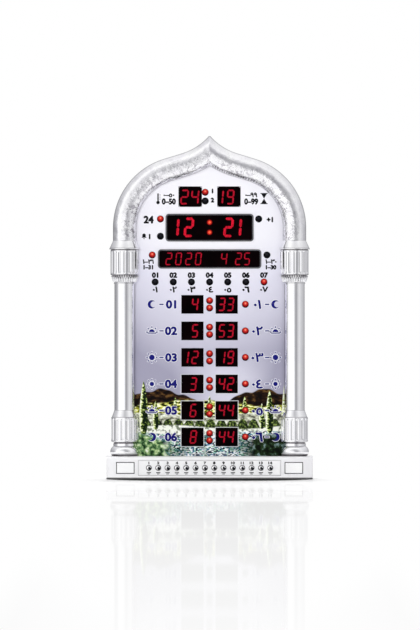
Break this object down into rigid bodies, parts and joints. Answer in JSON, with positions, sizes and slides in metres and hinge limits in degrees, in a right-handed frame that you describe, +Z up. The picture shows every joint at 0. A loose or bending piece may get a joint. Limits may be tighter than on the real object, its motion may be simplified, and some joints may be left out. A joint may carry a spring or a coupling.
{
  "type": "azan clock",
  "caption": "Standing and wall-hanging clock with a pointed arch and columns round a printed face of red digital displays, and a plinth with a row of keys.",
  "frame": {"origin": "middle of the underside of the bounding box", "axes": "+Z up, the face looks along -Y, +X is to the viewer's right from the front"},
  "size_m": [0.24, 0.0449, 0.4],
  "materials": {
    "plated_silver": "bright plated moulding with a softly rippled surface",
    "plinth_silver": "glossy silver-white moulding",
    "white_plate": "smooth white inlay",
    "key_chrome": "polished domed caps",
    "printed_panel": "pale lavender printed sheet with a landscape across its lower part",
    "rim_grey": "satin grey rim",
    "window_black": "near-black filter with red digits behind it",
    "lamp_red": "domed lamps, red when lit and black when dark",
    "board_green": "green circuit board",
    "moulded_black": "black moulded plastic",
    "sensor_bead": "dipped bead on two legs",
    "cell_steel": "steel cell can",
    "cover_grey": "fine-textured light grey moulding",
    "screw_steel": "zinc plated steel",
    "ribbon_grey": "flat grey ribbon cable",
    "lead_black": "flat two-core lead"
  },
  "bodies": {
    "case": {"base_plinth": "plinth_silver", "key_strip": "white_plate", "left_corner_plate": "white_plate", "right_corner_plate": "white_plate", "arch_moulding": "plated_silver", "left_column_foot": "plated_silver", "right_column_foot": "plated_silver", "left_column_shaft": "plated_silver", "right_column_shaft": "plated_silver", "left_column_capital": "plated_silver", "right_column_capital": "plated_silver", "face_panel": "printed_panel", "time_bezel": "rim_grey", "date_bezel": "rim_grey", "temperature_display": "window_black", "countdown_display": "window_black", "time_display": "window_black", "date_display": "window_black", "row_1_displays": "window_black", "row_2_displays": "window_black", "row_3_displays": "window_black", "row_4_displays": "window_black", "row_5_displays": "window_black", "row_6_displays": "window_black", "colon_leds": "lamp_red", "row_leds": "lamp_red", "weekday_leds": "lamp_red", "status_leds": "lamp_red", "main_board": "board_green", "key_board": "board_green", "tact_switches": "moulded_black", "processor_chip": "moulded_black", "temperature_sensor": "sensor_bead", "speaker": "moulded_black", "dc_jack": "moulded_black", "cell_holder": "moulded_black", "backup_cell": "cell_steel", "rear_cover": "cover_grey", "rear_cover_screws": "screw_steel", "board_screws": "screw_steel", "key_ribbon": "ribbon_grey", "dc_lead": "lead_black", "speaker_lead": "lead_black"},
    "key_01": {"push_button_01": "key_chrome"},
    "key_02": {"push_button_02": "key_chrome"},
    "key_03": {"push_button_03": "key_chrome"},
    "key_04": {"push_button_04": "key_chrome"},
    "key_05": {"push_button_05": "key_chrome"},
    "key_06": {"push_button_06": "key_chrome"},
    "key_07": {"push_button_07": "key_chrome"},
    "key_08": {"push_button_08": "key_chrome"},
    "key_09": {"push_button_09": "key_chrome"},
    "key_10": {"push_button_10": "key_chrome"},
    "key_11": {"push_button_11": "key_chrome"},
    "key_12": {"push_button_12": "key_chrome"},
    "key_13": {"push_button_13": "key_chrome"},
    "key_14": {"push_button_14": "key_chrome"},
    "door": {"battery_door": "cover_grey"}
  },
  "joints": [
    {"name": "press_01", "type": "slide", "parent": "case", "child": "key_01", "axis": [0, 1, 0], "range_m": [0, 0.0008], "stiffness_N_per_m": 1500},
    {"name": "press_02", "type": "slide", "parent": "case", "child": "key_02", "axis": [0, 1, 0], "range_m": [0, 0.0008], "stiffness_N_per_m": 1500},
    {"name": "press_03", "type": "slide", "parent": "case", "child": "key_03", "axis": [0, 1, 0], "range_m": [0, 0.0008], "stiffness_N_per_m": 1500},
    {"name": "press_04", "type": "slide", "parent": "case", "child": "key_04", "axis": [0, 1, 0], "range_m": [0, 0.0008], "stiffness_N_per_m": 1500},
    {"name": "press_05", "type": "slide", "parent": "case", "child": "key_05", "axis": [0, 1, 0], "range_m": [0, 0.0008], "stiffness_N_per_m": 1500},
    {"name": "press_06", "type": "slide", "parent": "case", "child": "key_06", "axis": [0, 1, 0], "range_m": [0, 0.0008], "stiffness_N_per_m": 1500},
    {"name": "press_07", "type": "slide", "parent": "case", "child": "key_07", "axis": [0, 1, 0], "range_m": [0, 0.0008], "stiffness_N_per_m": 1500},
    {"name": "press_08", "type": "slide", "parent": "case", "child": "key_08", "axis": [0, 1, 0], "range_m": [0, 0.0008], "stiffness_N_per_m": 1500},
    {"name": "press_09", "type": "slide", "parent": "case", "child": "key_09", "axis": [0, 1, 0], "range_m": [0, 0.0008], "stiffness_N_per_m": 1500},
    {"name": "press_10", "type": "slide", "parent": "case", "child": "key_10", "axis": [0, 1, 0], "range_m": [0, 0.0008], "stiffness_N_per_m": 1500},
    {"name": "press_11", "type": "slide", "parent": "case", "child": "key_11", "axis": [0, 1, 0], "range_m": [0, 0.0008], "stiffness_N_per_m": 1500},
    {"name": "press_12", "type": "slide", "parent": "case", "child": "key_12", "axis": [0, 1, 0], "range_m": [0, 0.0008], "stiffness_N_per_m": 1500},
    {"name": "press_13", "type": "slide", "parent": "case", "child": "key_13", "axis": [0, 1, 0], "range_m": [0, 0.0008], "stiffness_N_per_m": 1500},
    {"name": "press_14", "type": "slide", "parent": "case", "child": "key_14", "axis": [0, 1, 0], "range_m": [0, 0.0008], "stiffness_N_per_m": 1500},
    {"name": "door_lift", "type": "slide", "parent": "case", "child": "door", "axis": [0, 1, 0], "range_m": [0, 0.015]}
  ]
}
